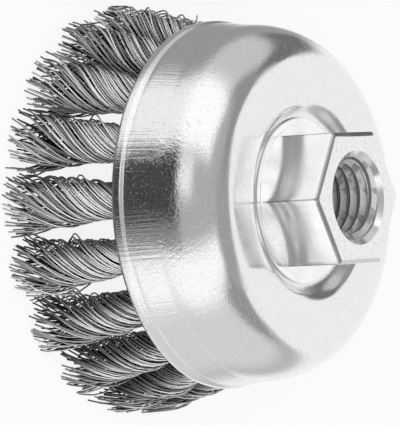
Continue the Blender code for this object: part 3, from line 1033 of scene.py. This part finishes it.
# Patches that the metal sees: azimuth from -Y towards -X and elevation of the
# middle, half width, half height and soft edge in degrees, then brightness
PATCHES = (
    ("left_wall", -100.0, 38.0, -2.0, 36.0, 12.0, 0.72),
    ("left_post", -131.0, 8.0, 8.0, 42.0, 5.0, 0.52),
    ("right_wall", 112.0, 27.0, 2.0, 46.0, 8.0, 0.62),
    ("right_low", 125.0, 38.0, -31.0, 15.0, 6.0, 0.34),
    ("ceiling", 0.0, 180.0, 94.0, 31.0, 8.0, 0.38),
    ("left_upper", -96.0, 33.0, 49.0, 16.0, 9.0, 0.32),
    ("right_upper", 118.0, 28.0, 58.0, 22.0, 8.0, 0.31),
    ("right_post", 143.0, 12.0, 12.0, 28.0, 6.0, 0.17),
    ("front_board", 4.0, 30.0, 30.0, 35.0, 5.0, 0.46),
    ("front_upper", 38.0, 64.0, 61.0, 12.0, 8.0, 0.45),
    ("left_softbox", -45.0, 17.0, 15.0, 41.0, 6.0, 1.12),
    ("right_softbox", 61.0, 23.0, 17.0, 28.0, 6.0, 1.15),
    ("key_softbox", 18.0, 12.0, 9.0, 11.0, 2.5, 0.95),
    ("underside", 0.0, 180.0, -72.0, 27.0, 7.0, 0.12),
    ("front_flag", 13.0, 24.0, -25.0, 22.0, 2.5, 0.06),
    ("front_flag_side", -19.0, 8.0, -25.0, 22.0, 4.0, 0.26),
)

# Side that the soft light for matt surfaces comes from, its width as a range
# of the cosine from there, and its strength from the far side to the near one
SIDE_LIGHT = (0.22, -0.95, 0.15)
SIDE_SPREAD = (0.2, 0.95)
SIDE_LEVEL = (0.18, 1.6)

# The floor lies just under the tips. The camera sees part lit floor, part even white
FLOOR_DROP = 0.05 * MM
FLOOR_TONE = (0.9, 0.9, 0.9, 1.0)
FLOOR_LIT_SHARE = 0.22
FLOOR_WHITE = 1.12

# The camera's axes, and its distance and shift from the middle of the lip
CAMERA_RIGHT = Vector((0.05158648, 0.57641944, 0.81552404))
CAMERA_UP = Vector((-0.99866853, 0.02977509, 0.0421261))
CAMERA_BACK = Vector((0.0, -0.81661133, 0.57718795))
CAMERA_DISTANCE = 0.700
CAMERA_VIEW_END = 10.0
CAMERA_SHIFT_RIGHT = -3.504 * MM
CAMERA_SHIFT_UP = -1.313 * MM
FOCAL_PIXELS = 4087.0
IMAGE_HEIGHT = 425.0
SENSOR = 36.0


def window(tree, value, middle, half, soft):
    """1 inside middle ± half degrees, the shorter way round, fading to 0 over the soft edge."""
    away = math_node(tree, "ABSOLUTE", math_node(tree, "SUBTRACT", value, middle))
    away = math_node(tree, "MINIMUM", away, math_node(tree, "SUBTRACT", 360.0, away))
    return ramp(tree, away, (half + soft / 2, half - soft / 2))


def mixed_value(tree, factor, first, second):
    item = tree.nodes.new("ShaderNodeMix")
    for socket, value in zip(item.inputs, (factor, None, first, second)):
        if isinstance(value, (int, float)):
            socket.default_value = value
        elif value is not None:
            tree.links.new(value, socket)
    return item.outputs[0]


def make_world(stage):
    """White for the camera, patches for what reflects, and a soft side light for what is matt."""
    world = bpy.data.worlds.new("studio")
    bpy.context.scene.world = world
    world.use_nodes = True
    tree = world.node_tree
    background = tree.nodes["Background"]
    direction = tree.nodes.new("ShaderNodeTexCoord").outputs["Generated"]
    x, y, z = split_axes(tree, direction)
    to_degrees = 180.0 / math.pi
    azimuth = math_node(tree, "ARCTAN2", product(tree, x, -1.0), product(tree, y, -1.0))
    azimuth = product(tree, azimuth, to_degrees)
    elevation = product(tree, math_node(tree, "ARCSINE", z), to_degrees)
    reflected = stage.surround
    for name, middle, half_width, height, half_height, soft, brightness in PATCHES:
        mask = window(tree, elevation, height, half_height, soft)
        if half_width < 180.0:
            mask = product(tree, mask, window(tree, azimuth, middle, half_width, soft))
        reflected = mixed_value(tree, mask, reflected, brightness)
        reflected.node.name = name
    towards = tree.nodes.new("ShaderNodeVectorMath")
    towards.operation = "DOT_PRODUCT"
    towards.inputs[1].default_value = SIDE_LIGHT
    tree.links.new(direction, towards.inputs[0])
    side_light = ramp(tree, towards.outputs["Value"], SIDE_SPREAD, SIDE_LEVEL)
    ray = tree.nodes.new("ShaderNodeLightPath").outputs
    matt = mixed_value(tree, ray["Is Diffuse Ray"], 1.0, side_light)
    level = mixed_value(tree, ray["Is Glossy Ray"], matt, reflected)
    tree.links.new(level, background.inputs["Strength"])
    background.inputs["Color"].default_value = (1.0, 1.0, 1.0, 1.0)
    world.cycles.sampling_method = "NONE"
    return world


def make_floor(stage):
    """A pale floor that keeps the brush's shadow: part even white, part lit.

    It casts no light on the brush and doesn't show in it, so the metal sees
    only the patches.
    """
    half = stage.floor_size / 2
    points = np.array([(-half, -half), (half, -half), (half, half), (-half, half)])
    points = np.column_stack([points, np.full(len(points), -FLOOR_DROP)])
    mesh = build_mesh("floor", points, [np.array([[0, 1, 2, 3]])])
    material, tree, shader = new_material("pale_floor")
    shader.inputs["Base Color"].default_value = FLOOR_TONE
    shader.inputs["Roughness"].default_value = 1.0
    shader.inputs["Specular IOR Level"].default_value = 0.0
    glow = tree.nodes.new("ShaderNodeEmission")
    glow.inputs["Strength"].default_value = FLOOR_WHITE
    blend = tree.nodes.new("ShaderNodeMixShader")
    seen = tree.nodes.new("ShaderNodeLightPath").outputs["Is Camera Ray"]
    tree.links.new(ramp(tree, seen, (0.0, 1.0), (1.0, FLOOR_LIT_SHARE)), blend.inputs[0])
    tree.links.new(glow.outputs[0], blend.inputs[1])
    tree.links.new(shader.outputs[0], blend.inputs[2])
    tree.links.new(blend.outputs[0], tree.nodes["Material Output"].inputs["Surface"])
    mesh.materials.append(material)
    floor = bpy.data.objects.new("floor", mesh)
    bpy.context.scene.collection.objects.link(floor)
    floor.visible_glossy = False
    floor.visible_diffuse = False


def make_camera():
    """The photograph's camera: above the nut's side, rolled so that the tips point left."""
    data = bpy.data.cameras.new("camera")
    data.sensor_width = SENSOR
    data.lens = FOCAL_PIXELS * SENSOR / IMAGE_HEIGHT
    data.clip_end = CAMERA_VIEW_END
    camera = bpy.data.objects.new("camera", data)
    place = (
        CAMERA_RIGHT * CAMERA_SHIFT_RIGHT
        + CAMERA_UP * CAMERA_SHIFT_UP
        + CAMERA_BACK * CAMERA_DISTANCE
        + Vector((0.0, 0.0, LIP_Z))
    )
    turn = Matrix((CAMERA_RIGHT, CAMERA_UP, CAMERA_BACK)).transposed()
    camera.matrix_world = Matrix.Translation(place) @ turn.to_4x4()
    bpy.context.scene.collection.objects.link(camera)
    bpy.context.scene.camera = camera


# Operators

class BRUSH_OT_stage(Operator):
    """Build the floor, the light and the camera"""
    bl_idname = "brush.stage"
    bl_label = "Stage"

    def execute(self, context):
        stage = context.scene.brush_stage
        make_world(stage)
        make_floor(stage)
        make_camera()
        context.scene.view_settings.view_transform = "Standard"
        return {"FINISHED"}


class BRUSH_OT_cup(Operator):
    """Build the pressed cup"""
    bl_idname = "brush.cup"
    bl_label = "Cup"

    def execute(self, context):
        cup = context.scene.brush_cup
        material = polished_zinc("polished_zinc", cup.zinc)
        add_piece("cup_shell", cup_mesh(cup), material, "cup")
        return {"FINISHED"}


class BRUSH_OT_nut(Operator):
    """Build the flanged nut with its thread"""
    bl_idname = "brush.nut"
    bl_label = "Nut"

    def execute(self, context):
        nut = context.scene.brush_nut
        mesh = turned_mesh("nut_body", *nut_rows(nut))
        material = satin_zinc("satin_zinc", nut.zinc, nut)
        add_piece("nut_body", mesh, material, "threaded_nut")
        return {"FINISHED"}


class BRUSH_OT_inner_steel(Operator):
    """Finish the plate and the washer inside the cup"""
    bl_idname = "brush.inner_steel"
    bl_label = "Plate and washer"

    def execute(self, context):
        inner = context.scene.brush_inner
        for name, tone in (("knot_plate", inner.plate), ("retaining_washer", inner.washer)):
            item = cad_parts[name]
            item.material_slots[0].material = stamped_steel(f"{name}_steel", tone)
        return {"FINISHED"}


class BRUSH_OT_wires(Operator):
    """Build the wires of every knot"""
    bl_idname = "brush.wires"
    bl_label = "Wires"

    def execute(self, context):
        wire = context.scene.brush_wire
        material = drawn_wire("drawn_wire", wire.steel)
        for index in range(KNOT_COUNT):
            name = f"{index + 1:02d}"
            mesh = knot_mesh(wire, index)
            add_piece(f"wires_{name}", mesh, material, f"knot_{name}", SHARP_WIRE)
        return {"FINISHED"}


class BRUSH_PT_panel(Panel):
    """Sizes and colours of the brush, and the steps that build it"""
    bl_label = "Wire cup brush"
    bl_idname = "BRUSH_PT_panel"
    bl_space_type = "VIEW_3D"
    bl_region_type = "UI"
    bl_category = "Brush"

    def draw(self, context):
        scene = context.scene
        sections = (
            (scene.brush_stage, BRUSH_OT_stage),
            (scene.brush_cup, BRUSH_OT_cup),
            (scene.brush_nut, BRUSH_OT_nut),
            (scene.brush_inner, BRUSH_OT_inner_steel),
            (scene.brush_wire, BRUSH_OT_wires),
        )
        for settings, operator in sections:
            box = self.layout.box()
            for name in settings.bl_rna.properties.keys():
                if name not in ("name", "rna_type"):
                    box.prop(settings, name)
            box.operator(operator.bl_idname)


CLASSES = (
    BrushCupSettings,
    BrushNutSettings,
    BrushWireSettings,
    BrushInnerSettings,
    BrushStageSettings,
    BRUSH_OT_stage,
    BRUSH_OT_cup,
    BRUSH_OT_nut,
    BRUSH_OT_inner_steel,
    BRUSH_OT_wires,
    BRUSH_PT_panel,
)


def register():
    for item in CLASSES:
        bpy.utils.register_class(item)
    bpy.types.Scene.brush_cup = PointerProperty(type=BrushCupSettings)
    bpy.types.Scene.brush_nut = PointerProperty(type=BrushNutSettings)
    bpy.types.Scene.brush_wire = PointerProperty(type=BrushWireSettings)
    bpy.types.Scene.brush_inner = PointerProperty(type=BrushInnerSettings)
    bpy.types.Scene.brush_stage = PointerProperty(type=BrushStageSettings)


def unregister():
    for name in ("brush_cup", "brush_nut", "brush_wire", "brush_inner", "brush_stage"):
        delattr(bpy.types.Scene, name)
    for item in reversed(CLASSES):
        bpy.utils.unregister_class(item)


def main():
    register()
    bpy.ops.brush.stage()
    bpy.ops.brush.cup()
    bpy.ops.brush.nut()
    bpy.ops.brush.inner_steel()
    bpy.ops.brush.wires()


if __name__ == "__main__":
    main()
